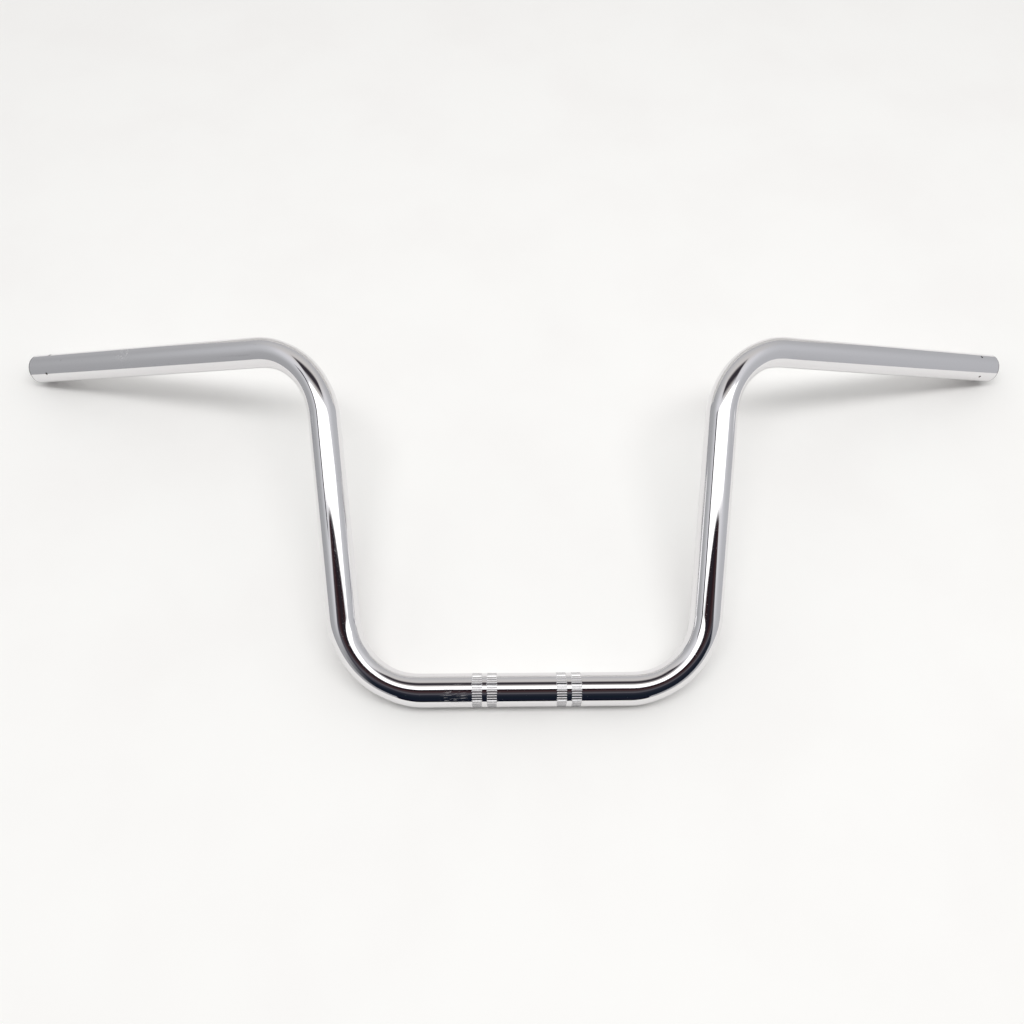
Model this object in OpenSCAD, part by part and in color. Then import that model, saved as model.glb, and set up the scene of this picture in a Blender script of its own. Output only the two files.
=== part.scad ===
// Motorcycle handlebar: one chromed steel tube with four bends, a knurled clamp section
// in the middle and a plain straight grip section at each end.
// Lengths are in millimetres. X runs to the right along the clamp section, Y from the
// clamp section to the bar ends, Z up. The origin is the middle of the clamp section,
// on the tube's axis. The bar lies on the clamp section and its two ends.

/* [Tube] */

// Outside diameter of the tube
tube_d = 22.2; // [16:0.1:32]
// Wall thickness of the tube
wall_t = 2.0; // [1:0.1:4]

/* [Layout] */

// From the middle to a lower corner, where the clamp and riser axes would cross, along X
base_half = 116.9; // [90:0.1:180]
// From the middle to an upper corner, where the riser and grip axes would cross, along X
top_half = 144.4; // [100:0.1:240]
// From the clamp axis to the upper corners, along Y
corner_reach = 221.9; // [140:0.1:320]
// From the clamp axis up to the upper corners, along Z
corner_rise = 81.5; // [40:0.1:160]
// From the middle to the middle of an end face, along X
tip_half = 388.3; // [300:0.1:500]
// From the clamp axis to the middle of an end face, along Y
tip_reach = 267.7; // [180:0.1:360]

/* [Bends] */

// Radius of the two lower bends, measured on the tube's axis
lower_bend_r = 54.2; // [40:0.1:80]
// Radius of the two upper bends, measured on the tube's axis
upper_bend_r = 60.0; // [40:0.1:80]
// Loss of width in the plane of a bend, where the tube is drawn flat, in percent
bend_flattening = 8.0; // [0:0.1:15]
// Gain of width across the plane of a bend, in percent
bend_spread = 2.0; // [0:0.1:6]
// Angle at each end of a bend over which the flattening fades in, in degrees
fade_angle = 26; // [8:1:40]

/* [Knurling] */

// From the middle to the near edge of the inner knurled band on each side
band_start = 19.6; // [8:0.1:40]
// Length of each knurled band along the tube, its run-outs included
band_length = 6.7; // [3:0.1:16]
// Plain gap between the two bands of a pair
band_gap = 3.1; // [1:0.1:12]
// Number of flutes around a band
flute_count = 40; // [20:1:60]
// Depth of a flute below the plain tube
flute_depth = 0.38; // [0.1:0.01:0.8]
// Share of the pitch that a flute takes at the plain tube's surface, in percent
flute_share = 58; // [30:1:80]
// Share of the pitch that the flat floor of a flute takes, in percent
floor_share = 12; // [4:1:30]
// Height of the pressed-up crests above the plain tube
crest_rise = 0.05; // [0:0.01:0.15]
// Length of the slope that ends each flute
flute_runout = 0.5; // [0.2:0.1:1.5]

/* [Bar ends] */

// Chamfer around the outside of each end
end_chamfer = 0.5; // [0.1:0.1:1.5]
// Chamfer around the mouth of the bore
bore_chamfer = 0.3; // [0.1:0.1:1]
// Diameter of the small holes near each end
hole_d = 2.0; // [1:0.1:4]
// From the end face to the axes of the small holes
hole_from_end = 17.4; // [8:0.1:40]
// Number of small holes around each end
hole_count = 4; // [2:2:8]
// Turn of the right end's first hole from the top, away from the clamp section, in degrees
hole_turn_right = 7; // [0:1:89]
// Turn of the left end's first hole from the top, away from the clamp section, in degrees
hole_turn_left = 27; // [0:1:89]

/* [Smoothness] */

// Sides of the tube's outline in the bends
outer_sides = 44; // [24:4:60]
// Sides of the bore's outline in the bends
bore_sides = 24; // [16:4:40]
// Steps along a bend for the outline
outer_steps = 14; // [8:1:24]
// Steps along a bend for the bore
bore_steps = 10; // [8:1:20]

/* [Hidden] */

tube_r = tube_d / 2;
bore_r = tube_r - wall_t;
// Straight pieces and bent skins run this far into each other; the skins stand this much
// inside the straight pieces, whose laps taper by this much so that the two meet cleanly
lap = 1.5;
skin_inset = 0.02;
lap_taper = 0.25;
chrome_color = [0.80, 0.81, 0.83];

// Depth of the slope from an axis running at slope dz to a level ring of radius r
function ring_drop(r, dz) = r * sqrt(1 - dz * dz);
function unit(v) = v / norm(v);

// Height of the end face's middle at which the chamfered end just touches the level
// that the clamp section rests on; it depends on its own slope, so it is found by steps
function tip_slope(z) =
    (z - corner_rise) / norm([tip_half - top_half, tip_reach - corner_reach, z - corner_rise]);
function tip_level(z, n) =
    n == 0
        ? z
        : tip_level(ring_drop(tube_r, tip_slope(z)) + end_chamfer * tip_slope(z) - tube_r, n - 1);
tip_z = tip_level(0, 8);

// Corners of the right half's axis beyond the middle
low_corner = [base_half, 0, 0];
top_corner = [top_half, corner_reach, corner_rise];
tip = [tip_half, tip_reach, tip_z];

base_dir = [1, 0, 0];
riser_dir = unit(top_corner - low_corner);
grip_dir = unit(tip - top_corner);

low_angle = acos(base_dir * riser_dir);
top_angle = acos(riser_dir * grip_dir);
low_cut = lower_bend_r * tan(low_angle / 2);
top_cut = upper_bend_r * tan(top_angle / 2);

base_end = low_corner - base_dir * low_cut;
riser_start = low_corner + riser_dir * low_cut;
riser_end = top_corner - riser_dir * top_cut;
grip_start = top_corner + grip_dir * top_cut;

// Frame for a straight piece: its third axis runs along d, its first lies level
function level_side(d) = unit(cross(d, [0, 0, 1]));
function frame_on(p, d) =
    let (u = level_side(d), v = cross(d, u))
    [
        [u[0], v[0], d[0], p[0]],
        [u[1], v[1], d[1], p[1]],
        [u[2], v[2], d[2], p[2]],
        [0, 0, 0, 1]
    ];

// How far the flattening has faded in at angle t of a bend of angle total
function fade(t, total) =
    let (q = max(0, min(1, min(t, total - t) / fade_angle)))
    q * q * (3 - 2 * q);

// Stations of a bend: angle, then distance run straight on before or after the bend
function stations(total, steps) =
    concat(
        [[0, -lap]],
        [for (i = [0 : steps]) [total * i / steps, 0]],
        [[total, lap]]
    );

// One outline of a bend that starts at p along d1 and turns towards the unit vector n
function outline(p, d1, n, turn_r, station, total, r, sides) =
    let (
        t = station[0],
        dir = d1 * cos(t) + n * sin(t),
        out = d1 * sin(t) - n * cos(t),
        side = cross(d1, n),
        centre = p + d1 * turn_r * sin(t) + n * turn_r * (1 - cos(t)) + dir * station[1],
        w = fade(t, total),
        a = r * (1 - w * bend_flattening / 100),
        b = r * (1 + w * bend_spread / 100)
    )
    [
        for (k = [0 : sides - 1])
            let (phi = 360 * k / sides)
            centre + out * a * cos(phi) + side * b * sin(phi)
    ];

// Closed skin of a bend, as a stack of outlines joined by triangles
module bend_skin(p, d1, d2, turn_r, total, r, sides, steps) {
    n = unit(d2 - d1 * (d1 * d2));
    list = stations(total, steps);
    rows = len(list);
    points = [
        for (s = list)
            each outline(p, d1, n, turn_r, s, total, r, sides)
    ];
    start_cap = [[for (k = [sides - 1 : -1 : 0]) k]];
    end_cap = [[for (k = [0 : sides - 1]) (rows - 1) * sides + k]];
    walls = [
        for (i = [0 : rows - 2], k = [0 : sides - 1])
            let (
                k2 = (k + 1) % sides,
                a = i * sides + k,
                b = i * sides + k2,
                c = (i + 1) * sides + k2,
                d = (i + 1) * sides + k
            )
            each [[a, b, d], [b, c, d]]
    ];
    polyhedron(points = points, faces = concat(start_cap, end_cap, walls), convexity = 6);
}

// Solid turned about the third axis from an outline of [radius, height] points
module turned(outline_points) {
    rotate_extrude($fn = 120)
        polygon(outline_points);
}

// Straight round piece from p to q, with a tapered lap beyond both ends
module rod(p, q, r) {
    long = norm(q - p);
    multmatrix(frame_on(p, unit(q - p)))
        turned([
            [0, -lap],
            [r - lap_taper, -lap],
            [r, 0],
            [r, long],
            [r - lap_taper, long + lap],
            [0, long + lap]
        ]);
}

// Waste of one band before the crests are kept: from the flutes' floor to just above them
module flute_ring(x) {
    floor_r = tube_r - flute_depth;
    top_r = tube_r + 0.25;
    reach = flute_runout / flute_depth * (top_r - tube_r);
    turned([
        [floor_r, x + flute_runout],
        [floor_r, x + band_length - flute_runout],
        [top_r, x + band_length + reach],
        [top_r, x - reach]
    ]);
}

// Star that keeps the crests: its notches widen outwards, and their flanks are straight
module crest_star(x) {
    pitch = 360 / flute_count;
    floor_r = tube_r - flute_depth;
    share_per_mm = (flute_share - floor_share) / flute_depth;
    low_r = floor_r - 0.4 * floor_share / share_per_mm;
    low_half = pitch * 0.6 * floor_share / 200;
    high_r = tube_r + 0.6 * (96 - flute_share) / share_per_mm;
    high_half = pitch * (flute_share + 0.6 * (96 - flute_share)) / 200;
    reach = flute_runout / flute_depth * 0.25 + 1;
    translate([0, 0, x - reach])
        linear_extrude(height = band_length + 2 * reach)
            polygon([
                for (i = [0 : flute_count - 1])
                    let (mid = i * pitch)
                    each [
                        [high_r * cos(mid - high_half), high_r * sin(mid - high_half)],
                        [low_r * cos(mid - low_half), low_r * sin(mid - low_half)],
                        [low_r * cos(mid + low_half), low_r * sin(mid + low_half)],
                        [high_r * cos(mid + high_half), high_r * sin(mid + high_half)]
                    ]
            ]);
}

// Flutes of the band that starts x from the middle of the clamp section
module flutes(x) {
    difference() {
        flute_ring(x);
        crest_star(x);
    }
}

// Clamp section: a turned outline that swells a little at each band, less the flutes
module clamp_section() {
    half_long = base_end[0];
    second = band_start + band_length + band_gap;
    starts = [
        -second - band_length,
        -band_start - band_length,
        band_start,
        second
    ];
    swell_edge = 0.3 * flute_runout;
    crest_r = tube_r + crest_rise;
    rotate([0, 90, 0])
        difference() {
            turned([
                [0, -half_long - lap],
                [tube_r - lap_taper, -half_long - lap],
                [tube_r, -half_long],
                for (x = starts)
                    each [
                        [tube_r, x + swell_edge],
                        [crest_r, x + flute_runout],
                        [crest_r, x + band_length - flute_runout],
                        [tube_r, x + band_length - swell_edge]
                    ],
                [tube_r, half_long],
                [tube_r - lap_taper, half_long + lap],
                [0, half_long + lap]
            ]);
            for (x = starts)
                flutes(x);
        }
}

// Bore through the clamp section
module clamp_bore() {
    half_long = base_end[0];
    rotate([0, 90, 0])
        turned([
            [0, -half_long - lap],
            [bore_r - lap_taper, -half_long - lap],
            [bore_r, -half_long],
            [bore_r, half_long],
            [bore_r - lap_taper, half_long + lap],
            [0, half_long + lap]
        ]);
}

// Grip section, from the upper bend to its chamfered end
module grip_outside() {
    long = norm(tip - grip_start);
    multmatrix(frame_on(grip_start, grip_dir))
        turned([
            [0, -lap],
            [tube_r - lap_taper, -lap],
            [tube_r, 0],
            [tube_r, long - end_chamfer],
            [tube_r - end_chamfer, long],
            [0, long]
        ]);
}

// Bore of the grip section, with its chamfered mouth
module grip_bore() {
    long = norm(tip - grip_start);
    multmatrix(frame_on(grip_start, grip_dir))
        turned([
            [0, -lap],
            [bore_r - lap_taper, -lap],
            [bore_r, 0],
            [bore_r, long - bore_chamfer],
            [bore_r + bore_chamfer + 1, long + 1],
            [0, long + 1]
        ]);
}

// Outside of the right half beyond the clamp section
module half_outside() {
    r = tube_r - skin_inset;
    bend_skin(base_end, base_dir, riser_dir, lower_bend_r, low_angle, r, outer_sides, outer_steps);
    rod(riser_start, riser_end, tube_r);
    bend_skin(riser_end, riser_dir, grip_dir, upper_bend_r, top_angle, r, outer_sides, outer_steps);
    grip_outside();
}

// Bore of the right half beyond the clamp section
module half_bore() {
    r = bore_r - skin_inset;
    bend_skin(base_end, base_dir, riser_dir, lower_bend_r, low_angle, r, bore_sides, bore_steps);
    rod(riser_start, riser_end, bore_r);
    bend_skin(riser_end, riser_dir, grip_dir, upper_bend_r, top_angle, r, bore_sides, bore_steps);
    grip_bore();
}

// Small holes through the wall near the right end, the first turned from the top
module end_holes(turn) {
    multmatrix(frame_on(tip, grip_dir))
        for (i = [0 : hole_count / 2 - 1])
            rotate([0, 0, 360 * i / hole_count - turn])
                translate([0, 0, -hole_from_end])
                    rotate([90, 0, 0])
                        cylinder(h = tube_d + 4, r = hole_d / 2, center = true, $fn = 24);
}

// The whole bar: outside, less the bore and the small holes
module handlebar() {
    color(chrome_color)
        difference() {
            union() {
                clamp_section();
                half_outside();
                mirror([1, 0, 0])
                    half_outside();
            }
            clamp_bore();
            half_bore();
            mirror([1, 0, 0])
                half_bore();
            end_holes(hole_turn_right);
            mirror([1, 0, 0])
                end_holes(hole_turn_left);
        }
}

handlebar();
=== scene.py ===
"""Looks of a chromed motorcycle handlebar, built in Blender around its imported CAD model.

The bar is one bent tube, so there is one shown piece: a finely swept skin with true normals that
stands for the CAD solid and keeps to its sizes. The bar's lengths are in millimetres, as on a
drawing, and turn into metres when a mesh is made. What stands round it says its own unit.
"""

import logging
import math
from dataclasses import dataclass, field
from enum import Enum
from typing import Any, Callable, Iterable, Sequence

import bpy
import numpy as np
from mathutils import Matrix, Vector


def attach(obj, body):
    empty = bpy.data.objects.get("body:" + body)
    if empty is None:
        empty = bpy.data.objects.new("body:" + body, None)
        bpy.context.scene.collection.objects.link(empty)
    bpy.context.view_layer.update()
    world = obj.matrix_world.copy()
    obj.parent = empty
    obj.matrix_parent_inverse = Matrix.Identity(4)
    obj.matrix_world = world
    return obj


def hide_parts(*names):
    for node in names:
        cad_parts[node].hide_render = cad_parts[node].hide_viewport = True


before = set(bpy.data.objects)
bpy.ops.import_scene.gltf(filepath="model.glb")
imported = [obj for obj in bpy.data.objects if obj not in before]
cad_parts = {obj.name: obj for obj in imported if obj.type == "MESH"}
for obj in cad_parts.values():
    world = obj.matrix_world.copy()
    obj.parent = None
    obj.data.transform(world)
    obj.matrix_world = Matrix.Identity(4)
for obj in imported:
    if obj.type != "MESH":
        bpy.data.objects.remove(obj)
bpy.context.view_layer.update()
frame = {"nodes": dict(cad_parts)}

LOG = logging.getLogger("handlebar")
MM = 0.001
BODY = "root"
SHARP_DEGREES = 40
TINY = 1e-6

Array = np.ndarray
Triple = tuple[float, float, float]
Colour = Triple


class Side(Enum):
    """Which half of the bar a piece of skin belongs to."""

    LEFT = -1
    RIGHT = 1


class Layer(Enum):
    """Which of the tube's two surfaces a ring of points lies on."""

    OUTSIDE = "outside"
    BORE = "bore"


class Paint(Enum):
    """Material slots of the bar's mesh, in slot order."""

    CHROME = 0
    BORE = 1


# Shader maths


class Sock:
    """A node socket, or a number, that Python operators turn into Math nodes.

    Args:
        shader: The tree that new nodes are made in.
        link: An output socket, or a plain number.
    """

    def __init__(self, shader: "Shader", link: Any) -> None:
        self.shader = shader
        self.link = link

    def _math(self, operation: str, *others: Any) -> "Sock":
        """Adds one Math node on this value and the others.

        Args:
            operation: The Math node's operation.
            others: Further inputs, as wrapped sockets or numbers.

        Returns:
            The node's result.
        """
        inputs = {i: v for i, v in enumerate((self, *others))}
        return self.shader.node("ShaderNodeMath", {"operation": operation}, inputs)["Value"]

    def __add__(self, other: Any) -> "Sock":
        """This value plus another."""
        return self._math("ADD", other)

    def __radd__(self, other: Any) -> "Sock":
        """Another value plus this one."""
        return self._math("ADD", other)

    def __sub__(self, other: Any) -> "Sock":
        """This value less another."""
        return self._math("SUBTRACT", other)

    def __rsub__(self, other: Any) -> "Sock":
        """Another value less this one."""
        return Sock(self.shader, other)._math("SUBTRACT", self)

    def __mul__(self, other: Any) -> "Sock":
        """This value times another."""
        return self._math("MULTIPLY", other)

    def __rmul__(self, other: Any) -> "Sock":
        """Another value times this one."""
        return self._math("MULTIPLY", other)

    def __truediv__(self, other: Any) -> "Sock":
        """This value over another."""
        return self._math("DIVIDE", other)

    def __pow__(self, other: Any) -> "Sock":
        """This value to the power of another."""
        return self._math("POWER", other)

    def __abs__(self) -> "Sock":
        """This value without its sign."""
        return self._math("ABSOLUTE")

    def at_least(self, other: Any) -> "Sock":
        """The greater of this value and another."""
        return self._math("MAXIMUM", other)

    def at_most(self, other: Any) -> "Sock":
        """The smaller of this value and another."""
        return self._math("MINIMUM", other)

    def angle(self, other: Any) -> "Sock":
        """Angle of this value over another, in radians."""
        return self._math("ARCTAN2", other)

    def ramp(self, low: float, high: float) -> "Sock":
        """Rises smoothly from 0 at low to 1 at high.

        Args:
            low: Where the result is 0. It may lie above high.
            high: Where the result is 1.

        Returns:
            The smooth step.
        """
        turned = low > high
        a, b = (high, low) if turned else (low, high)
        out = self.shader.node(
            "ShaderNodeMapRange",
            {"interpolation_type": "SMOOTHSTEP"},
            {"Value": self, "From Min": a, "From Max": b},
        )["Result"]
        return 1 - out if turned else out

    def between(self, low: float, rise: float, high: float, fall: float) -> "Sock":
        """A soft window that is 1 between low + rise and high - fall.

        Args:
            low: Where the window starts to open.
            rise: How far it takes to open.
            high: Where the window is shut again.
            fall: How far it takes to shut.

        Returns:
            The window.
        """
        return self.ramp(low, low + rise) * self.ramp(high, high - fall)


class Outputs:
    """The outputs of one node, picked by name."""

    def __init__(self, shader: "Shader", node: Any) -> None:
        self.shader = shader
        self.node = node

    def __getitem__(self, name: str) -> Sock:
        """The wrapped output of that name."""
        found = next(s for s in self.node.outputs if s.name == name and s.enabled)
        return Sock(self.shader, found)


class Shader:
    """Builds one node tree, for a material or for the world.

    Args:
        tree: The node tree, which is emptied first.
    """

    def __init__(self, tree: Any) -> None:
        self.tree = tree
        tree.nodes.clear()

    def node(
        self, kind: str, settings: dict[str, Any] | None = None, inputs: dict[Any, Any] | None = None
    ) -> Outputs:
        """Adds a node.

        Args:
            kind: The node's type.
            settings: Its properties, set before its inputs. "stops" fills a colour ramp.
            inputs: Values or wrapped sockets, by input name or number.

        Returns:
            The node's outputs.
        """
        made = self.tree.nodes.new(kind)
        for name, value in (settings or {}).items():
            if name == "stops":
                self._stops(made.color_ramp, value)
            else:
                setattr(made, name, value)
        for name, value in (inputs or {}).items():
            target = self._input(made, name)
            link = value.link if isinstance(value, Sock) else value
            if isinstance(link, bpy.types.NodeSocket):
                self.tree.links.new(link, target)
            else:
                target.default_value = link
        return Outputs(self, made)

    @staticmethod
    def _input(made: Any, name: Any) -> Any:
        """The node's input of that name or number, leaving out the ones its settings switch off."""
        if isinstance(name, int):
            return made.inputs[name]
        return next(s for s in made.inputs if s.name == name and s.enabled)

    @staticmethod
    def _stops(ramp: Any, stops: Sequence[tuple[float, Colour]]) -> None:
        """Fills a colour ramp.

        Args:
            ramp: The ramp of a Color Ramp node.
            stops: Positions and colours, in rising order.
        """
        while len(ramp.elements) < len(stops):
            ramp.elements.new(1.0)
        for element, (place, colour) in zip(ramp.elements, stops):
            element.position = place
            element.color = (*colour, 1.0)

    def mix(self, factor: Any, first: Any, second: Any) -> Sock:
        """Mixes two colours.

        Args:
            factor: 0 for the first colour, 1 for the second.
            first: A colour or a wrapped socket.
            second: A colour or a wrapped socket.

        Returns:
            The mixed colour.
        """
        a, b = (v if isinstance(v, Sock) else (*v, 1.0) for v in (first, second))
        inputs = {"Factor": factor, "A": a, "B": b}
        return self.node("ShaderNodeMix", {"data_type": "RGBA"}, inputs)["Result"]

    def tones(self, place: Sock, stops: Sequence[tuple[float, Colour]]) -> Sock:
        """Colours laid out along a value.

        Args:
            place: The value, read from 0 to 1.
            stops: Places and colours, in rising order.

        Returns:
            The colour at the value.
        """
        return self.node("ShaderNodeValToRGB", {"stops": stops}, {"Fac": place})["Color"]

    def parts(self, vector: Sock) -> tuple[Sock, Sock, Sock]:
        """The three numbers of a vector."""
        made = self.node("ShaderNodeSeparateXYZ", inputs={"Vector": vector})
        return made["X"], made["Y"], made["Z"]

    def noise(self, vector: Sock, scale: float, detail: float = 2.0, rough: float = 0.5) -> Sock:
        """Noise of 0 to 1.

        Args:
            vector: Where to sample it.
            scale: How many features fit in a metre of the vector.
            detail: Number of finer layers.
            rough: Strength of the finer layers.

        Returns:
            The noise's value.
        """
        return self.node(
            "ShaderNodeTexNoise",
            inputs={"Vector": vector, "Scale": scale, "Detail": detail, "Roughness": rough},
        )["Fac"]

    def stretched(self, vector: Sock, scale: Triple, turn: Triple = (0.0, 0.0, 0.0)) -> Sock:
        """A vector turned and then scaled along each axis.

        Args:
            vector: The vector.
            scale: Scale along X, Y and Z.
            turn: Turn about X, Y and Z, in radians.

        Returns:
            The mapped vector.
        """
        return self.node(
            "ShaderNodeMapping",
            {"vector_type": "TEXTURE"},
            {"Vector": vector, "Rotation": turn, "Scale": tuple(1 / v for v in scale)},
        )["Vector"]


# Finishes


def new_material(name: str) -> tuple[Any, Shader]:
    """A new node material, and the builder of its empty tree."""
    mat = bpy.data.materials.new(name)
    mat.use_nodes = True
    return mat, Shader(mat.node_tree)


@dataclass(frozen=True)
class Rub:
    """A worn patch of plate, crossed by short scratches.

    Args:
        middle: Its middle, in millimetres.
        reach: How far it spreads, in millimetres.
        turn: Turn of the scratches about X, Y and Z, in radians.
    """

    middle: Triple
    reach: float
    turn: Triple


@dataclass(frozen=True)
class ChromePlate:
    """Bright plate polished along the tube, with light haze, fine scratches, dark specks, satin flutes
    that darken deep down, and a thin line of painted shade round each end.

    A grain is how many features fit in a metre along each axis. A roughness or a share is what one
    kind of mark adds where it is strongest.
    """

    colour: Colour = (0.80, 0.79, 0.80)
    # Colour of the dirt specks, the darker flute floors and the painted shade on the end rims.
    dark_marks_and_painted_shade_colour: Colour = (0.07, 0.065, 0.07)
    flute_colour: Colour = (0.93, 0.92, 0.93)
    gloss: float = 0.03
    haze: float = 0.04
    polish_roughness: float = 0.035
    scratch_roughness: float = 0.42
    flute_roughness: float = 0.3
    deep_flute_darkening_share: float = 0.12
    speck_share: float = 0.35
    scratch_share: float = 0.6
    matt_share: float = 0.6
    polish_grain: Triple = (7.0, 330.0, 330.0)
    scratch_grain: Triple = (70.0, 2600.0, 2600.0)
    scratch_turn: Triple = (0.3, 0.2, -0.9)
    rub_grain: Triple = (110.0, 2300.0, 2300.0)
    rubs: tuple[Rub, ...] = (
        Rub((-47.0, -7.5, 7.5), 12.0, (0.0, 0.0, 0.06)),
        Rub((345.0, 260.0, -2.0), 12.0, (0.0, 0.9, 0.2)),
        Rub((-300.0, 252.0, 35.0), 14.0, (0.3, 0.0, 1.2)),
    )

    def make(self) -> Any:
        """Builds the material."""
        mat, s = new_material("chrome_plate")
        place = s.node("ShaderNodeTexCoord")["Object"]
        laid = s.node("ShaderNodeAttribute", {"attribute_name": "laid_out"})["Vector"]
        flute_depth_and_rim_shade = s.node("ShaderNodeAttribute", {"attribute_name": "flute_depth_and_rim_shade"})["Fac"]
        cloud = s.noise(place, 22.0, 3.0, 0.6).ramp(0.35, 0.75)
        streak = s.noise(s.stretched(laid, self.polish_grain), 1.0, 3.0, 0.6).ramp(0.50, 0.74)
        speck = s.noise(place, 620.0, 1.0).ramp(0.745, 0.775) * cloud
        wear = self._wear(s, place)
        satin = flute_depth_and_rim_shade.ramp(0.1, 0.6)
        # Darker, by a patchy amount, deep in the flutes.
        deep_flute_darkening = flute_depth_and_rim_shade.ramp(0.8, 1.0) * (0.4 + s.noise(place, 900.0, 2.0).ramp(0.3, 0.6) * 0.6)
        # Painted shade: the marked end rim is drawn nearly black, as a dark line round each end.
        rim = flute_depth_and_rim_shade.ramp(-0.3, -0.8)
        # Dirt specks, the darker flute floors and the painted rim shade, mixed into one dark colour.
        dark_marks_and_painted_shade = (deep_flute_darkening * self.deep_flute_darkening_share + rim + speck * self.speck_share).at_most(1.0)
        worn = (wear * self.scratch_roughness).at_least(satin * self.flute_roughness)
        rough = self.gloss + cloud * self.haze + streak * self.polish_roughness + worn
        plate = s.mix(satin, self.colour, self.flute_colour)
        height = s.noise(place, 75.0, 1.0, 0.4) * 0.25 + streak * 0.02 - wear * 0.5
        bump = s.node(
            "ShaderNodeBump", inputs={"Strength": 0.06, "Distance": 0.0004, "Height": height}
        )["Normal"]
        bsdf = s.node(
            "ShaderNodeBsdfPrincipled",
            inputs={
                "Base Color": s.mix(dark_marks_and_painted_shade, plate, self.dark_marks_and_painted_shade_colour),
                "Metallic": 1 - satin.at_least(wear * self.scratch_share) * self.matt_share,
                "Roughness": rough,
                "Normal": bump,
            },
        )
        s.node("ShaderNodeOutputMaterial", inputs={"Surface": bsdf["BSDF"]})
        return mat

    def _wear(self, s: Shader, place: Sock) -> Sock:
        """Hair-thin scratches, thick in the rubbed patches and rare elsewhere.

        Args:
            s: The material's tree.
            place: Object coordinates in metres.

        Returns:
            The scratch mask, 1 on a scratch.
        """
        thin = s.noise(s.stretched(place, self.scratch_grain, self.scratch_turn), 1.0, 1.0)
        total = thin.ramp(0.76, 0.80) * 0.4
        for rub in self.rubs:
            middle = tuple(v * MM for v in rub.middle)
            apart = s.node("ShaderNodeVectorMath", {"operation": "DISTANCE"}, {0: place, 1: middle})
            away = apart["Value"]
            fine = s.noise(s.stretched(place, self.rub_grain, rub.turn), 1.0, 1.0).ramp(0.60, 0.68)
            reach = rub.reach * MM
            total = total + fine * away.ramp(reach, reach * 0.3)
        return total.at_most(1.0)


@dataclass(frozen=True)
class BoreSteel:
    """Unplated inside of the tube: dull dark steel with a bloom of rust."""

    colour: Colour = (0.11, 0.10, 0.095)
    rust: Colour = (0.16, 0.075, 0.035)

    def make(self) -> Any:
        """Builds the material."""
        mat, s = new_material("bore_steel")
        place = s.node("ShaderNodeTexCoord")["Object"]
        bloom = s.noise(place, 160.0, 4.0, 0.6).ramp(0.45, 0.7)
        bump = s.node(
            "ShaderNodeBump",
            inputs={"Strength": 0.3, "Distance": 0.0003, "Height": s.noise(place, 900.0, 3.0)},
        )["Normal"]
        bsdf = s.node(
            "ShaderNodeBsdfPrincipled",
            inputs={
                "Base Color": s.mix(bloom * 0.6, self.colour, self.rust),
                "Metallic": 0.85 - bloom * 0.6,
                "Roughness": 0.42 + bloom * 0.3,
                "Normal": bump,
            },
        )
        s.node("ShaderNodeOutputMaterial", inputs={"Surface": bsdf["BSDF"]})
        return mat


@dataclass(frozen=True)
class PaleFloor:
    """Matt off-white board that the bar lies on, with its lengths in metres.

    It melts into the backdrop far from the bar, and the plate mirrors it only near the bar.
    """

    colour: Colour = (0.948, 0.941, 0.924)
    cloud_colour: Colour = (0.930, 0.918, 0.902)
    backdrop: Colour = (0.880, 0.868, 0.856)
    board_x: tuple[float, float] = (-0.47, 0.50)
    board_y: tuple[float, float] = (-0.098, 0.62)
    soft_edge: float = 0.01
    melt: tuple[float, float] = (0.70, 1.60)

    def make(self) -> Any:
        """Builds the material."""
        mat, s = new_material("pale_floor")
        place = s.node("ShaderNodeTexCoord")["Object"]
        x, y, _ = s.parts(place)
        cloud = s.noise(place, 9.0, 3.0).ramp(0.35, 0.75)
        colour = s.mix(cloud, self.colour, self.cloud_colour)
        inputs = {"Base Color": colour, "Roughness": 1.0, "Specular IOR Level": 0.0}
        bsdf = s.node("ShaderNodeBsdfPrincipled", inputs=inputs)
        (left, right), (front, back), soft = self.board_x, self.board_y, self.soft_edge
        board = x.between(left, soft, right, soft) * y.between(front, soft, back, soft)
        away = (x * x + y * y) ** 0.5
        ray = s.node("ShaderNodeLightPath")
        unseen = ray["Is Glossy Ray"] * (1 - board) + ray["Is Camera Ray"] * away.ramp(*self.melt)
        clear = s.node("ShaderNodeBsdfTransparent")["BSDF"]
        surface = s.node("ShaderNodeMixShader", inputs={0: unseen, 1: bsdf["BSDF"], 2: clear})
        s.node("ShaderNodeOutputMaterial", inputs={"Surface": surface["Shader"]})
        return mat

    def make_mirrored_only(self) -> Any:
        """Builds the same finish for a sheet that only the plate mirrors."""
        mat, s = new_material("mirrored_sheet")
        glossy = s.node("ShaderNodeLightPath")["Is Glossy Ray"]
        clear = s.node("ShaderNodeBsdfTransparent")["BSDF"]
        matt = s.node("ShaderNodeBsdfDiffuse", inputs={"Color": (*self.colour, 1.0)})["BSDF"]
        surface = s.node("ShaderNodeMixShader", inputs={0: glossy, 1: clear, 2: matt})
        s.node("ShaderNodeOutputMaterial", inputs={"Surface": surface["Shader"]})
        return mat


# Shape of the bar


@dataclass
class Station:
    """One place along the tube's axis, with its frame and its loss of roundness.

    Args:
        centre: Point on the axis.
        along: Direction of travel.
        across: First axis of the ring.
        other: Second axis of the ring.
        out: Direction away from the bend's middle, or any ring axis on a straight piece.
        flat: How far the flattening has faded in, 0 to 1.
        run: Distance from the middle of the bar along the axis.
    """

    centre: Array
    along: Array
    across: Array
    other: Array
    out: Array
    flat: float
    run: float


def unit(v: Array) -> Array:
    """The vector at length 1."""
    return v / np.linalg.norm(v)


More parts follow.
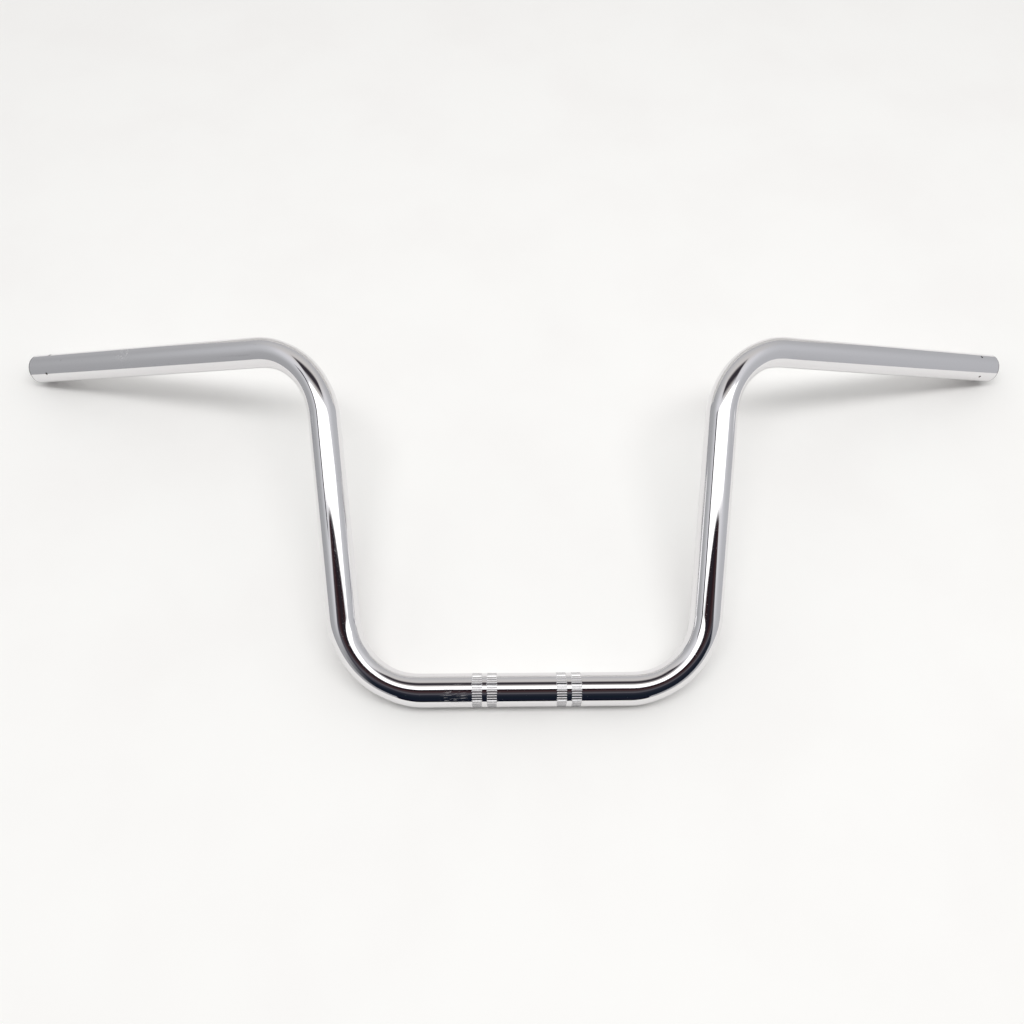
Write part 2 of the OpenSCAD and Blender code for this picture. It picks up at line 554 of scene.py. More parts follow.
@dataclass
class BarShape:
    """Axis and section of the right half of the bar, in millimetres, as the CAD model has them."""

    tube_r: float = 11.1
    bore_r: float = 9.1
    low_corner: Triple = (116.9, 0.0, 0.0)
    top_corner: Triple = (144.4, 221.9, 81.5)
    tip_xy: tuple[float, float] = (388.3, 267.7)
    lower_bend_r: float = 54.2
    upper_bend_r: float = 60.0
    flattening: float = 0.08
    spread: float = 0.02
    fade_angle: float = 26.0
    end_chamfer: float = 0.5
    bore_chamfer: float = 0.3

    def tip(self) -> Array:
        """Middle of the end face, at the height where the chamfered end touches the floor."""
        top = np.array(self.top_corner)
        z = 0.0
        for _ in range(8):
            d = np.array([*self.tip_xy, z]) - top
            slope = d[2] / np.linalg.norm(d)
            z = self.tube_r * math.sqrt(1 - slope**2) + self.end_chamfer * slope - self.tube_r
        return np.array([*self.tip_xy, z])

    def legs(self) -> list[Array]:
        """The corners of the axis, from the middle of the bar to the end face."""
        return [np.zeros(3), np.array(self.low_corner), np.array(self.top_corner), self.tip()]

    def stations(self, bend_step: float, straight_step: float, start: float) -> list[Station]:
        """Frames along the axis from start to the end face.

        Args:
            bend_step: Angle between stations in a bend, in degrees.
            straight_step: Longest distance between stations on a straight piece.
            start: Distance from the middle of the bar to the first station.

        Returns:
            The stations, in order of travel.
        """
        corners = self.legs()
        across = np.array([0.0, 0.0, -1.0])
        place, run, made = np.array([start, 0.0, 0.0]), start, []

        def straight(a: Array, b: Array, d: Array, u: Array, run0: float, last: bool) -> float:
            length = float(np.linalg.norm(b - a))
            count = max(1, math.ceil(length / straight_step))
            for i in range(count + (1 if last else 0)):
                q = length * i / count
                made.append(Station(a + d * q, d, u, np.cross(d, u), u, 0.0, run0 + q))
            return run0 + length

        for i, radius in ((1, self.lower_bend_r), (2, self.upper_bend_r)):
            d1, d2 = unit(corners[i] - corners[i - 1]), unit(corners[i + 1] - corners[i])
            angle = math.acos(float(d1 @ d2))
            cut = radius * math.tan(angle / 2)
            bend_start = corners[i] - d1 * cut
            run = straight(place, bend_start, d1, across, run, False)
            n = unit(d2 - d1 * float(d1 @ d2))
            axis = np.cross(d1, n)
            count = math.ceil(math.degrees(angle) / bend_step)
            for k in range(count):
                t = angle * k / count
                d = d1 * math.cos(t) + n * math.sin(t)
                out = d1 * math.sin(t) - n * math.cos(t)
                u = self._turned(across, axis, t)
                centre = bend_start + d1 * radius * math.sin(t) + n * radius * (1 - math.cos(t))
                flat = self._fade(math.degrees(t), math.degrees(angle))
                made.append(Station(centre, d, u, np.cross(d, u), out, flat, run + radius * t))
            run += radius * angle
            across = self._turned(across, axis, angle)
            place = corners[i] + d2 * cut
        straight(place, corners[3], unit(corners[3] - corners[2]), across, run, True)
        return made

    def _fade(self, t: float, total: float) -> float:
        """How far the flattening has faded in at angle t of a bend of angle total, in degrees."""
        q = max(0.0, min(1.0, min(t, total - t) / self.fade_angle))
        return q * q * (3 - 2 * q)

    @staticmethod
    def _turned(v: Array, axis: Array, angle: float) -> Array:
        """The vector turned about a unit axis."""
        c, s = math.cos(angle), math.sin(angle)
        return v * c + np.cross(axis, v) * s + axis * float(axis @ v) * (1 - c)

    def ring(self, st: Station, angles: Array, layer: Layer) -> Array:
        """One ring of points, oval where the bend is drawn flat.

        Args:
            st: The station.
            angles: Angles round the ring from its first axis.
            layer: The outside or the bore.

        Returns:
            The points, one row each.
        """
        r = self.tube_r if layer is Layer.OUTSIDE else self.bore_r
        side = np.cross(st.along, st.out)
        turn = math.atan2(float(st.out @ st.other), float(st.out @ st.across))
        a = r * (1 - self.flattening * st.flat)
        b = r * (1 + self.spread * st.flat)
        c, s = np.cos(angles - turn), np.sin(angles - turn)
        return st.centre + np.outer(a * c, st.out) + np.outer(b * s, side)


@dataclass
class Knurls:
    """The four short bands of straight flutes on the clamp section."""

    band_start: float = 19.6
    band_length: float = 6.7
    band_gap: float = 3.1
    flute_count: int = 40
    flute_depth: float = 0.38
    flute_share: float = 0.58
    floor_share: float = 0.12
    crest_rise: float = 0.05
    runout: float = 0.5

    def bands(self) -> list[tuple[float, float]]:
        """Start and end of each band, from left to right."""
        near = (self.band_start, self.band_start + self.band_length)
        far = (near[1] + self.band_gap, near[1] + self.band_gap + self.band_length)
        return [(-far[1], -far[0]), (-near[1], -near[0]), near, far]

    def angles(self) -> Array:
        """Angles round a band that fall on every edge of the flutes."""
        half_floor, half_flute = self.floor_share / 2, self.flute_share / 2
        flank = (half_floor + half_flute) / 2
        marks = [0.0, half_floor, flank, half_flute, (half_flute + 0.5) / 2]
        offsets = sorted({*marks, *(-m for m in marks), 0.5})
        pitch = 2 * math.pi / self.flute_count
        return np.concatenate([(i + np.array(offsets)) * pitch for i in range(self.flute_count)])

    def stations(self, reach: float) -> Array:
        """Places along the axis, closer together where the flutes run out.

        Args:
            reach: Half the length of the skin they belong to.

        Returns:
            The places, from left to right.
        """
        marks = {-reach, reach, 0.0, -self.band_start / 2, self.band_start / 2}
        for a, b in self.bands():
            inner = np.linspace(a + self.runout, b - self.runout, 5)
            ends = [0.0, 0.15, 0.3, 0.4]
            marks |= {*inner, *(a + e for e in ends), *(b - e for e in ends), a - 0.4, b + 0.4}
        return np.array(sorted(m for m in marks if abs(m) <= reach))

    def height(self, x: float, angles: Array) -> tuple[Array, Array]:
        """How far the surface stands above the plain tube.

        Args:
            x: Place along the axis.
            angles: Angles round the ring.

        Returns:
            The heights, and how deep each point lies in a flute, from 0 to 1.
        """
        flat = np.zeros_like(angles)
        band = next((b for b in self.bands() if b[0] <= x <= b[1]), None)
        if band is None:
            return flat, flat
        share = np.abs((angles * self.flute_count / (2 * math.pi) + 0.5) % 1.0 - 0.5)
        slope = (share - self.floor_share / 2) / ((self.flute_share - self.floor_share) / 2)
        depth = 1 - np.clip(slope, 0.0, 1.0)
        q = min(x - band[0], band[1] - x) / self.runout
        floor = -self.flute_depth * min(1.0, max(0.0, q))
        crest = self.crest_rise * min(1.0, max(0.0, (q - 0.3) / 0.7))
        wanted = crest - (crest + self.flute_depth) * depth
        return np.maximum(wanted, floor), depth * min(1.0, max(0.0, q))


@dataclass
class EndHoles:
    """The small holes drilled round each end of the bar."""

    radius: float = 1.0
    from_end: float = 17.4
    count: int = 4
    turn: dict[Side, float] = field(default_factory=lambda: {Side.LEFT: 27.0, Side.RIGHT: 7.0})
    block: int = 4


class SkinMesh:
    """Collects the points and faces of the bar's skin."""

    def __init__(self) -> None:
        self.points: list[Array] = []
        self.faces: list[tuple[int, ...]] = []
        self.paints: list[int] = []
        self.laid: list[Array] = []
        self.flute_depth_and_rim_shade: list[Array] = []
        self.count = 0

    def add_points(self, points: Array, laid: Array | None = None, flute_depth_and_rim_shade: Array | float = 0.0) -> int:
        """Adds points.

        Args:
            points: The points in millimetres, one row each.
            laid: Where they would lie if the tube were straight. None if that isn't needed.
            flute_depth_and_rim_shade: How deep each one lies in a flute, from 0 to 1; below 0 marks the
                end rim, which is painted with dark shade.

        Returns:
            The number of the first one.
        """
        first = self.count
        self.points.append(points)
        self.laid.append(points if laid is None else laid)
        self.flute_depth_and_rim_shade.append(np.full(len(points), flute_depth_and_rim_shade) if np.isscalar(flute_depth_and_rim_shade) else flute_depth_and_rim_shade)
        self.count += len(points)
        return first

    def add_face(self, corners: Iterable[int], paint: Paint, turned: bool) -> None:
        """Adds a face, the other way round if it belongs to a mirrored half."""
        loop = tuple(corners)
        self.faces.append(loop[::-1] if turned else loop)
        self.paints.append(paint.value)

    def build(self, name: str, materials: Sequence[Any]) -> Any:
        """Makes the object.

        Args:
            name: The object's name.
            materials: One material for each slot.

        Returns:
            The object, linked into the scene.
        """
        mesh = bpy.data.meshes.new(name)
        mesh.from_pydata((np.vstack(self.points) * MM).tolist(), [], self.faces)
        for material in materials:
            mesh.materials.append(material)
        mesh.polygons.foreach_set("material_index", self.paints)
        mesh.polygons.foreach_set("use_smooth", [True] * len(self.faces))
        # Per point: how deep it lies in a flute, and below 0 the mark for the painted rim shade.
        flute_depth_and_rim_shade = mesh.attributes.new("flute_depth_and_rim_shade", "FLOAT", "POINT")
        flute_depth_and_rim_shade.data.foreach_set("value", np.concatenate(self.flute_depth_and_rim_shade).astype(np.float32))
        laid = mesh.attributes.new("laid_out", "FLOAT_VECTOR", "POINT")
        laid.data.foreach_set("vector", (np.vstack(self.laid) * MM).astype(np.float32).ravel())
        mesh.set_sharp_from_angle(angle=math.radians(SHARP_DEGREES))
        mesh.validate()
        obj = bpy.data.objects.new(name, mesh)
        bpy.context.collection.objects.link(obj)
        return obj


@dataclass
class Handlebar:
    """The whole bar: a swept skin for the outside, the ends, the end holes and the bore."""

    shape: BarShape = field(default_factory=BarShape)
    knurls: Knurls = field(default_factory=Knurls)
    holes: EndHoles = field(default_factory=EndHoles)
    sides: int = 128
    clamp_reach: float = 40.0
    # Mark for the end rim: below 0 paints it with a dark line of shade.
    painted_rim_shade: float = -1.0
    rim_width: float = 0.9
    outside_steps: tuple[float, float] = (1.5, 18.0)
    bore_steps: tuple[float, float] = (4.0, 40.0)
    hole_margin: float = 1.0
    end_margin: float = 1.5

    def build(self) -> list[Any]:
        """Makes the bar and lets it stand for the CAD node.

        Returns:
            The pieces made.
        """
        skin = SkinMesh()
        self._clamp_skin(skin)
        for side in Side:
            self._half_skin(skin, side)
        obj = skin.build("handlebar_skin", [ChromePlate().make(), BoreSteel().make()])
        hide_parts("handlebar")
        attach(obj, BODY)
        return [obj]

    def _clamp_skin(self, skin: SkinMesh) -> None:
        """Adds the outside of the clamp section, with its knurled bands."""
        angles = self.knurls.angles()
        rows = []
        for x in self.knurls.stations(self.clamp_reach):
            rise, depth = self.knurls.height(float(x), angles)
            r = self.shape.tube_r + rise
            points = np.column_stack([np.full_like(r, x), r * np.sin(angles), -r * np.cos(angles)])
            rows.append(skin.add_points(points, flute_depth_and_rim_shade=depth))
        self._join(skin, rows, len(angles), Paint.CHROME, False)

    def _half_skin(self, skin: SkinMesh, side: Side) -> None:
        """Adds everything beyond the clamp section on one side.

        Args:
            skin: The mesh that it goes into.
            side: Which half.
        """
        flip = np.array([side.value, 1.0, 1.0])
        turned = side is Side.LEFT
        outer = self.shape.stations(*self.outside_steps, self.clamp_reach)
        inner = self.shape.stations(*self.bore_steps, 0.0)
        end = outer[-1]
        phase = self._phase(end, side)
        angles = phase + 2 * math.pi * np.arange(self.sides) / self.sides
        step = 2 * math.pi * self.shape.tube_r / self.sides
        block = self.holes.block
        near = [end.run - self.holes.from_end + step * k for k in range(-block, block + 1)]
        out_rows = self._rows(skin, outer, near, angles, Layer.OUTSIDE, flip)
        in_rows = self._rows(skin, inner, near, angles, Layer.BORE, flip)
        gap, gap_in = (
            [i for i, (run, _) in enumerate(rows) if near[0] - TINY <= run < near[-1] - TINY]
            for rows in (out_rows, in_rows)
        )
        blocks = self._blocks()
        self._join(skin, [r for _, r in out_rows], self.sides, Paint.CHROME, turned, gap, blocks)
        self._join(skin, [r for _, r in in_rows], self.sides, Paint.BORE, not turned, gap_in, blocks)
        self._end_face(skin, end, angles, out_rows[-1][1], in_rows[-1][1], flip, turned)
        for j in range(self.holes.count):
            middle = j * self.sides // self.holes.count
            rims = []
            for layer, rows, first, paint, faces_away in (
                (Layer.OUTSIDE, out_rows, gap[0], Paint.CHROME, turned),
                (Layer.BORE, in_rows, gap_in[0], Paint.BORE, not turned),
            ):
                rims.append(self._hole_rim(skin, end, angles[middle], layer, flip))
                loop = self._loop([r for _, r in rows], first, middle)
                self._collar(skin, loop, rims[-1], paint, faces_away)
            edge = [rims[0] + k for k in range(len(self._square()))]
            self._collar(skin, edge, rims[1], Paint.BORE, turned)

    def _phase(self, end: Station, side: Side) -> float:
        """Ring angle of the first end hole, which is turned from the top, away from the clamps."""
        top = unit(np.array([0.0, 0.0, 1.0]) - end.along * end.along[2])
        level = unit(np.cross(end.along, top))
        if level[1] < 0:
            level = -level
        t = math.radians(self.holes.turn[side])
        d = top * math.cos(t) + level * math.sin(t)
        return math.atan2(float(d @ end.other), float(d @ end.across))

    def _rows(
        self,
        skin: SkinMesh,
        stations: list[Station],
        extra: list[float],
        angles: Array,
        layer: Layer,
        flip: Array,
    ) -> list[tuple[float, int]]:
        """Adds the rings of one surface up to its end chamfer.

        Args:
            skin: The mesh that they go into.
            stations: Frames along the axis.
            extra: Further distances along the grip that need a ring, round the holes.
            angles: Angles round the rings.
            layer: The outside or the bore.
            flip: Sign of each coordinate.

        Returns:
            For each ring its distance along the axis and the number of its first point.
        """
        end = stations[-1]
        cut = self.shape.end_chamfer if layer is Layer.OUTSIDE else self.shape.bore_chamfer
        before, after = extra[0] - self.hole_margin, extra[-1] + self.hole_margin
        last = end.run - cut - self.end_margin
        kept = [s for s in stations[:-1] if s.run < before or after < s.run < last]
        for run in (*extra, end.run - cut - self.rim_width, end.run - cut):
            centre = end.centre + end.along * (run - end.run)
            kept.append(Station(centre, end.along, end.across, end.other, end.out, 0.0, run))
        kept.sort(key=lambda s: s.run)
        rows = []
        for s in kept:
            laid = self._laid(s.run, angles, flip)
            # Rings at the end chamfer carry the mark for the painted rim shade.
            flute_depth_and_rim_shade = self.painted_rim_shade if s.run > end.run - cut - self.rim_width / 2 else 0.0
            rows.append((s.run, skin.add_points(self.shape.ring(s, angles, layer) * flip, laid, flute_depth_and_rim_shade)))
        return rows

    def _laid(self, run: float, angles: Array, flip: Array) -> Array:
        """Where a ring would lie if the tube were straight.

        Args:
            run: Its distance from the middle of the bar.
            angles: Angles round the ring.
            flip: Sign of each coordinate.

        Returns:
            The points, one row each.
        """
        r = self.shape.tube_r
        columns = [np.full_like(angles, run), r * np.sin(angles), -r * np.cos(angles)]
        return np.column_stack(columns) * flip

    def _blocks(self) -> set[int]:
        """Ring columns that the end holes take up."""
        width = self.holes.block
        taken = set()
        for j in range(self.holes.count):
            middle = j * self.sides // self.holes.count
            taken |= {(middle + k) % self.sides for k in range(-width, width)}
        return taken

    @staticmethod
    def _join(
        skin: SkinMesh,
        rows: Sequence[int],
        sides: int,
        paint: Paint,
        turned: bool,
        gap: Sequence[int] = (),
        blocks: Iterable[int] = (),
    ) -> None:
        """Joins rings by quads.

        Args:
            skin: The mesh that they are in.
            rows: First point of each ring.
            sides: Points in a ring.
            paint: The quads' material.
            turned: Whether they face the other way.
            gap: Rows where the blocks are left open.
            blocks: Columns that are left open there.
        """
        open_rows, open_columns = set(gap), set(blocks)
        for i, (a, b) in enumerate(zip(rows, rows[1:])):
            for k in range(sides):
                if i in open_rows and k in open_columns:
                    continue
                k2 = (k + 1) % sides
                skin.add_face((a + k, b + k, b + k2, a + k2), paint, not turned)

    def _end_face(
        self,
        skin: SkinMesh,
        end: Station,
        angles: Array,
        out_row: int,
        in_row: int,
        flip: Array,
        turned: bool,
    ) -> None:
        """Adds the chamfers and the flat of one end.

        Args:
            skin: The mesh.
            end: The last station.
            angles: Angles round the rings.
            out_row: First point of the last ring outside.
            in_row: First point of the last ring of the bore.
            flip: Sign of each coordinate.
            turned: Whether this is the mirrored half.
        """
        rows = [out_row]
        ring = np.outer(np.cos(angles), end.across) + np.outer(np.sin(angles), end.other)
        laid = self._laid(end.run, angles, flip)
        outer = self.shape.tube_r - self.shape.end_chamfer
        inner = self.shape.bore_r + self.shape.bore_chamfer
        # The outer chamfer ring carries the mark for the painted rim shade; the inner one does not.
        for r, flute_depth_and_rim_shade in ((outer, self.painted_rim_shade), (inner, 0.0)):
            rows.append(skin.add_points((end.centre + ring * r) * flip, laid, flute_depth_and_rim_shade))
        rows.append(in_row)
        self._join(skin, rows, self.sides, Paint.CHROME, turned)

    def _hole_rim(self, skin: SkinMesh, end: Station, angle: float, layer: Layer, flip: Array) -> int:
        """Adds the rim of one hole on one surface.

        Args:
            skin: The mesh.
            end: The last station.
            angle: Ring angle of the hole's axis.
            layer: The outside or the bore.
            flip: Sign of each coordinate.

        Returns:
            The number of its first point.
        """
        r = self.shape.tube_r if layer is Layer.OUTSIDE else self.shape.bore_r
        outward = end.across * math.cos(angle) + end.other * math.sin(angle)
        sideways = -end.across * math.sin(angle) + end.other * math.cos(angle)
        centre = end.centre - end.along * self.holes.from_end
        points = []
        for a, s in self._square():
            t = math.atan2(s, a)
            x, y = self.holes.radius * math.cos(t), self.holes.radius * math.sin(t)
            points.append(centre + end.along * x + sideways * y + outward * math.sqrt(r * r - y * y))
        return skin.add_points(np.array(points) * flip)

    def _square(self) -> list[tuple[int, int]]:
        """Grid steps round the edge of a block, as steps along the axis and round the ring."""
        w = self.holes.block
        low = [(-w, k) for k in range(-w, w)]
        right = [(k, w) for k in range(-w, w)]
        high = [(w, k) for k in range(w, -w, -1)]
        left = [(k, -w) for k in range(w, -w, -1)]
        return low + right + high + left

    def _loop(self, rows: Sequence[int], first: int, middle: int) -> list[int]:
        """Points of the skin round the edge of a block.

        Args:
            rows: First point of each ring.
            first: Row where the block starts.
            middle: Column at its middle.

        Returns:
            The point numbers.
        """
        w = self.holes.block
        return [rows[first + w + a] + (middle + s) % self.sides for a, s in self._square()]

    @staticmethod
    def _collar(skin: SkinMesh, loop: Sequence[int], rim: int, paint: Paint, turned: bool) -> None:
        """Joins a closed loop of points to a rim that has as many."""
        count = len(loop)
        for k in range(count):
            k2 = (k + 1) % count
            skin.add_face((loop[k], rim + k, rim + k2, loop[k2]), paint, turned)


# Studio


def shown(red: float, green: float, blue: float) -> Colour:
    """Works out what the plate has to mirror to look like a display colour.

    Args:
        red: Display level of 0 to 255.
        green: Display level of 0 to 255.
        blue: Display level of 0 to 255.

    Returns:
        The radiance before the plate takes its share.
    """
    levels = zip((red, green, blue), ChromePlate.colour)
    return tuple(((level / 255 + 0.055) / 1.055) ** 2.4 / share for level, share in levels)


@dataclass
class Studio:
    """Floor, camera, lamp and the pale room that the plate mirrors.

    The floor's height and the camera's place are in millimetres, the sheet and the lamp in metres. The
    room is drawn by direction: across and ahead are places on a level ceiling at height 1.
    """

    floor_z: float = -11.1
    floor_half: float = 6.0
    camera_place: Triple = (-20.07742, -153.97411, 540.42294)
    right: Triple = (0.999789, -0.013312, 0.015622)
    down: Triple = (-0.004395, -0.882343, -0.470586)
    forward: Triple = (0.020048, 0.470418, -0.882216)
    focal_px: float = 824.519
    image_px: int = 1024
    sheet_top: float = 0.165
    sheet_bend: float = 0.05
    sheet_rows: int = 8
    glow: float = 1.7
    fill: float = 0.85
    dim_fill: float = 0.16
    lamp_place: Triple = (0.2, -0.06, 2.1)
    lamp_size: tuple[float, float] = (2.7, 0.57)
    lamp_power: float = 22.0
    horizon: float = 0.02
    strip_ahead: tuple[float, float] = (-0.24, 0.155)
    strip_across: tuple[float, float] = (-0.79, 1.06)
    panel_across: tuple[float, float] = (-0.49, 0.46)
    panel_ahead: tuple[float, float] = (0.18, 0.88)
    bright_panes: Triple = (0.215, 0.07, 0.20)
    dull_panes: Triple = (0.30, -0.02, 0.07)
    opening_edge: float = 0.205
    opening_curve: float = 0.15
    opening_left: float = 2.72
    opening_right: tuple[float, float] = (-0.43, -0.49)

    def build(self) -> list[Any]:
        """Makes the floor, the camera and the world.

        Returns:
            The stage pieces made.
        """
        scene = bpy.context.scene
        scene.view_settings.view_transform = "Standard"
        scene.camera = self._camera()
        scene.world = self._world()
        self._lamp()
        return [self._floor(), self._back_sheet()]

    def _camera(self) -> Any:
        """Makes the camera at the photograph's viewpoint."""
        data = bpy.data.cameras.new("photo_camera")
        data.sensor_width = 36.0
        data.lens = data.sensor_width * self.focal_px / self.image_px
        data.clip_start, data.clip_end = 0.01, 100.0
        obj = bpy.data.objects.new("photo_camera", data)
        axes = (Vector(self.right), -Vector(self.down), -Vector(self.forward))
        turn = Matrix([list(a) for a in axes]).transposed().to_quaternion()
        obj.matrix_world = Matrix.Translation(Vector(self.camera_place) * MM) @ turn.to_matrix().to_4x4()
        bpy.context.collection.objects.link(obj)
        return obj

    def _lamp(self) -> None:
        """Makes the soft ceiling lamp. The plate mirrors the strip in the world in its place."""
        data = bpy.data.lights.new("ceiling_lamp", "AREA")
        data.shape = "RECTANGLE"
        data.size, data.size_y = self.lamp_size
        data.energy = self.lamp_power
        obj = bpy.data.objects.new("ceiling_lamp", data)
        obj.location = self.lamp_place
        obj.visible_camera = obj.visible_glossy = obj.visible_transmission = False
        bpy.context.collection.objects.link(obj)

    def _floor(self) -> Any:
        """Makes the floor, which isn't part of the object."""
        half, z = self.floor_half, self.floor_z * MM
        corners = [(-half, -half, z), (half, -half, z), (half, half, z), (-half, half, z)]
        return self._staged("floor", corners, [(0, 1, 2, 3)], PaleFloor().make())

    def _back_sheet(self) -> Any:
        """Makes the low pale sheet behind the bar, which only the plate mirrors."""
        (left, right), (_, back) = PaleFloor.board_x, PaleFloor.board_y
        bend, foot = self.sheet_bend, self.floor_z * MM
        rows = []
        for k in range(self.sheet_rows + 1):
            t = math.pi / 2 * k / self.sheet_rows
            rows.append((back - bend + bend * math.sin(t), foot + bend * (1 - math.cos(t))))
        rows.append((back, self.sheet_top))
        corners = [(x, y, z) for y, z in rows for x in (left, right)]
        faces = [(2 * k, 2 * k + 1, 2 * k + 3, 2 * k + 2) for k in range(len(rows) - 1)]
        return self._staged("back_sheet", corners, faces, PaleFloor().make_mirrored_only())

    @staticmethod
    def _staged(
        name: str, corners: Sequence[Triple], faces: Sequence[tuple[int, ...]], material: Any
    ) -> Any:
        """Makes a mesh that isn't part of the object.

        Args:
            name: Its name.
            corners: Its points in metres.
            faces: Point numbers of each face.
            material: Its finish.

        Returns:
            The object.
        """
        mesh = bpy.data.meshes.new(name)
        mesh.from_pydata(corners, [], faces)
        mesh.materials.append(material)
        obj = bpy.data.objects.new(name, mesh)
        bpy.context.collection.objects.link(obj)
        return obj

    def _world(self) -> Any:
        """Makes the light: plain and soft on the object, with the room's shapes for its mirror."""
        world = bpy.data.worlds.new("studio_room")
        world.use_nodes = True
        s = Shader(world.node_tree)
        x, y, z = s.parts(s.node("ShaderNodeTexCoord")["Generated"])
        ray = s.node("ShaderNodeLightPath")
        mirrored = (ray["Is Glossy Ray"] + ray["Is Transmission Ray"]).at_most(1.0)
        seen = (ray["Is Camera Ray"] + mirrored).at_most(1.0)
        height = z.at_least(self.horizon)
        across, ahead = x / height, y / height
        opening = self._opening(across, ahead, y.angle(x), y, z)
        light = s.mix(opening, (self.fill,) * 3, (self.dim_fill,) * 3)
        backdrop = s.mix(mirrored, PaleFloor.backdrop, self.room(s, x, y, z))
        lit, seen_room = (
            s.node("ShaderNodeBackground", inputs={"Color": colour, "Strength": 1.0})["Background"]
            for colour in (light, backdrop)
        )
        surface = s.node("ShaderNodeMixShader", inputs={0: seen, 1: lit, 2: seen_room})
        s.node("ShaderNodeOutputWorld", inputs={"Surface": surface["Shader"]})
        return world

    def strip(self, s: Shader, across: Sock, ahead: Sock) -> Sock:
        """The long ceiling light, 1 inside it.

        Args:
            s: The world's tree. It is not used.
            across: Place on a level ceiling at height 1, to the right.
            ahead: Place on that ceiling, away from the camera.

        Returns:
            The mask.
        """
        (front, back), (left, right) = self.strip_ahead, self.strip_across
        back_edge = back - abs(across).ramp(0.50, 0.65) * 0.07
        depth = (ahead - back_edge).ramp(0.02, -0.02) * ahead.ramp(front, front + 0.04)
        return depth * across.ramp(left, left + 0.05) * (across - ahead * 0.6).ramp(right, right - 0.08)

    def room(self, s: Shader, x: Sock, y: Sock, z: Sock) -> Sock:
        """Pale walls, the ceiling light, a dim panel behind it and a dim opening in front.

        Args:
            s: The world's tree.
            x: Direction to the right.
            y: Direction away from the camera.
            z: Direction up.

        Returns:
            The colour that the plate mirrors.
        """
        height = z.at_least(self.horizon)
        overhead = z.ramp(0.0, 0.05)
        across, ahead = x / height, y / height
        turn = y.angle(x)
        facing = y / (1 - z * z).at_least(0.0001) ** 0.5
        walls = self._levels(
            z,
            [
                (0.00, 157, 157, 160),
                (0.24, 159, 159, 162),
                (0.34, 161, 161, 164),
                (0.44, 167, 167, 170),
                (0.53, 177, 177, 181),
                (0.62, 189, 189, 193),
                (0.70, 204, 203, 208),
                (0.80, 210, 209, 213),
            ],
        )
        back = self._levels(
            z,
            [
                (0.00, 170, 170, 173),
                (0.24, 174, 173, 176),
                (0.36, 179, 178, 181),
                (0.50, 187, 185, 186),
                (0.72, 196, 192, 191),
                (0.90, 198, 193, 191),
            ],
        )
        room = s.mix(facing.ramp(0.50, 0.98), walls, back)
        room = s.mix(x.ramp(0.50, 0.95) * 0.35, room, shown(206, 206, 212))
        rim = across.between(-1.00, 0.05, -0.77, 0.03) * ahead.between(-0.30, 0.04, 0.20, 0.04)
        room = s.mix(rim * overhead, room, shown(44, 42, 48))
        room = s.mix(self._panes(turn, z, *self.bright_panes), room, shown(246, 245, 247))
        room = s.mix(self._panes(turn, z, *self.dull_panes), room, shown(128, 128, 134))
        (left, right), (near, far) = self.panel_across, self.panel_ahead
        panel = across.between(left, 0.12, right, 0.12)
        panel = panel * (ahead + across * 0.04).between(near, 0.22, far, 0.28) * overhead
        room = s.mix(panel, room, shown(52, 48, 54))
        room = s.mix(self.strip(s, across, ahead) * overhead, room, (self.glow,) * 3)
        return s.mix(self._opening(across, ahead, turn, y, z), room, self._dimness(s, across, z))

    @staticmethod
    def _panes(turn: Sock, z: Sock, lift: float, low: float, high: float) -> Sock:
        """One narrow pane near the horizon at each side.

        Args:
            turn: Direction round the horizon, in radians from the right.
            z: Direction up.
            lift: Where the slanting pane on the right lies.
            low: Lower edge of the pane on the left.
            high: Its upper edge.

        Returns:
            The mask, 1 inside a pane.
        """
        right = (z + turn - lift).between(-0.04, 0.015, 0.03, 0.015)
        right = right * turn.between(0.10, 0.04, 0.34, 0.03)
        return right + z.between(low, 0.02, high, 0.02) * turn.between(2.84, 0.03, 3.03, 0.03)

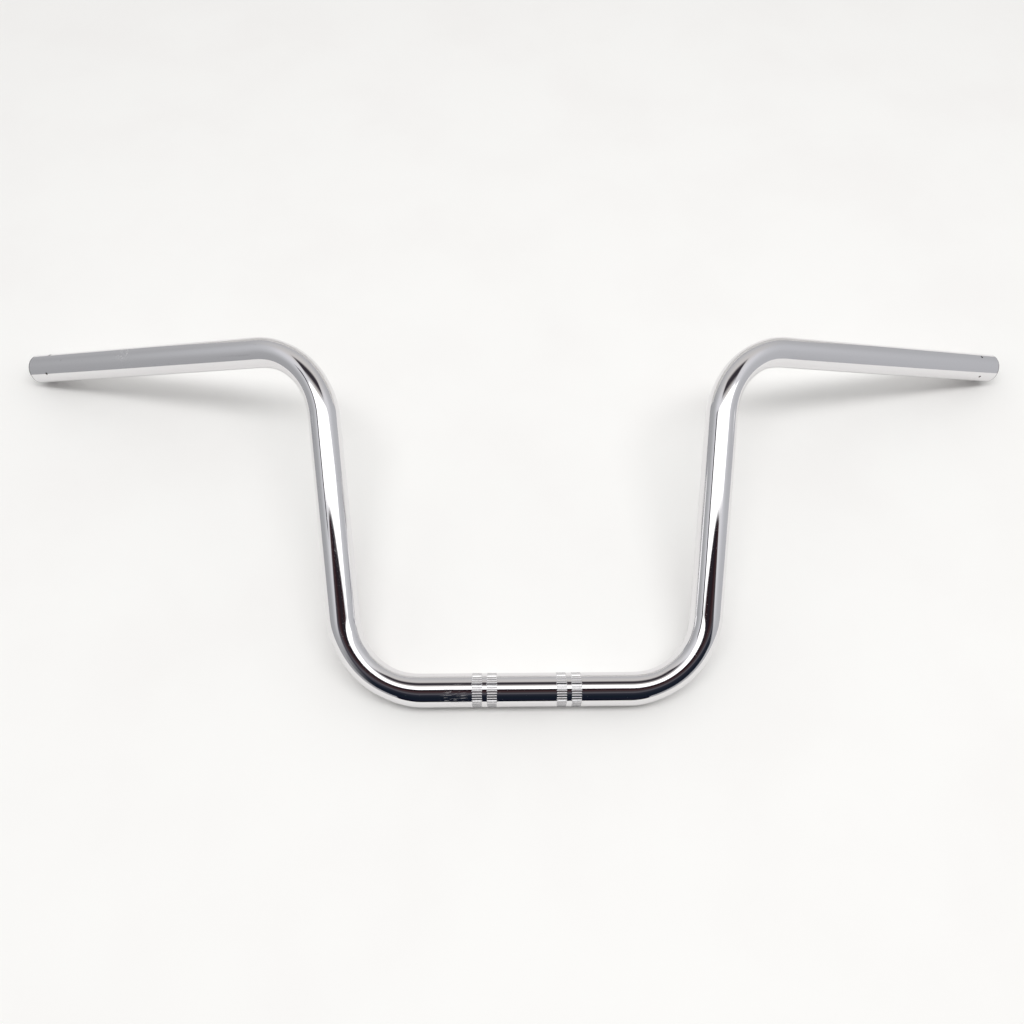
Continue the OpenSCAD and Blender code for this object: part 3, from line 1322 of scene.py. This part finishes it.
    def _opening(self, across: Sock, ahead: Sock, turn: Sock, y: Sock, z: Sock) -> Sock:
        """The dim opening in front, with a curved top, a soft left side and a sharp right one.

        Args:
            across: Place on a level ceiling at height 1, to the right.
            ahead: Place on that ceiling, away from the camera.
            turn: Direction round the horizon, in radians from the right.
            y: Direction away from the camera.
            z: Direction up.

        Returns:
            The mask, 1 inside the opening.
        """
        top = ahead + self.opening_edge + across * across * self.opening_curve
        soft = 0.61 - z.ramp(0.45, 0.82) * 0.53
        left = ((turn + self.opening_left) / soft).ramp(0.0, 1.0)
        right = turn.ramp(*self.opening_right)
        return top.ramp(0.006, -0.014) * left * right * y.ramp(0.0, -0.02)

    @staticmethod
    def _levels(place: Sock, rows: Sequence[tuple[float, ...]]) -> Sock:
        """Colours laid out along a value, each given by how the plate shows it.

        Args:
            place: The value, read from 0 to 1.
            rows: A place and the three display levels shown there, in rising order.

        Returns:
            The colour that the plate mirrors.
        """
        return place.shader.tones(place, [(at, shown(*levels)) for at, *levels in rows])

    def _dimness(self, s: Shader, across: Sock, z: Sock) -> Sock:
        """The colours inside the opening, by height.

        Args:
            s: The world's tree.
            across: Place on a level ceiling at height 1, to the right.
            z: Direction up.

        Returns:
            The colour.
        """
        dim = self._levels(
            z * 0.5 + 0.5,
            [
                (0.440, 6, 9, 20),
                (0.490, 10, 14, 26),
                (0.510, 24, 27, 40),
                (0.585, 22, 26, 38),
                (0.670, 22, 29, 39),
                (0.750, 28, 32, 42),
                (0.830, 44, 45, 55),
                (0.872, 86, 84, 90),
                (0.909, 60, 56, 60),
                (0.940, 64, 48, 51),
                (0.964, 42, 26, 30),
                (0.980, 36, 32, 38),
                (0.992, 44, 38, 44),
            ],
        )
        left = across.ramp(-0.45, -0.65) * z.between(0.50, 0.16, 0.86, 0.06)
        return s.mix(left * 0.8, dim, shown(78, 74, 81))


def main() -> None:
    """Builds the studio and the bar, and reports each piece."""
    logging.basicConfig(level=logging.INFO, format="%(name)s: %(message)s")
    LOG.info("frame holds the nodes %s", ", ".join(frame["nodes"]))
    builders: list[Callable[[], list[Any]]] = [Studio().build, Handlebar().build]
    for builder in builders:
        for piece in builder():
            LOG.info("%s: %d faces", piece.name, len(piece.data.polygons))


if __name__ == "__main__":
    main()
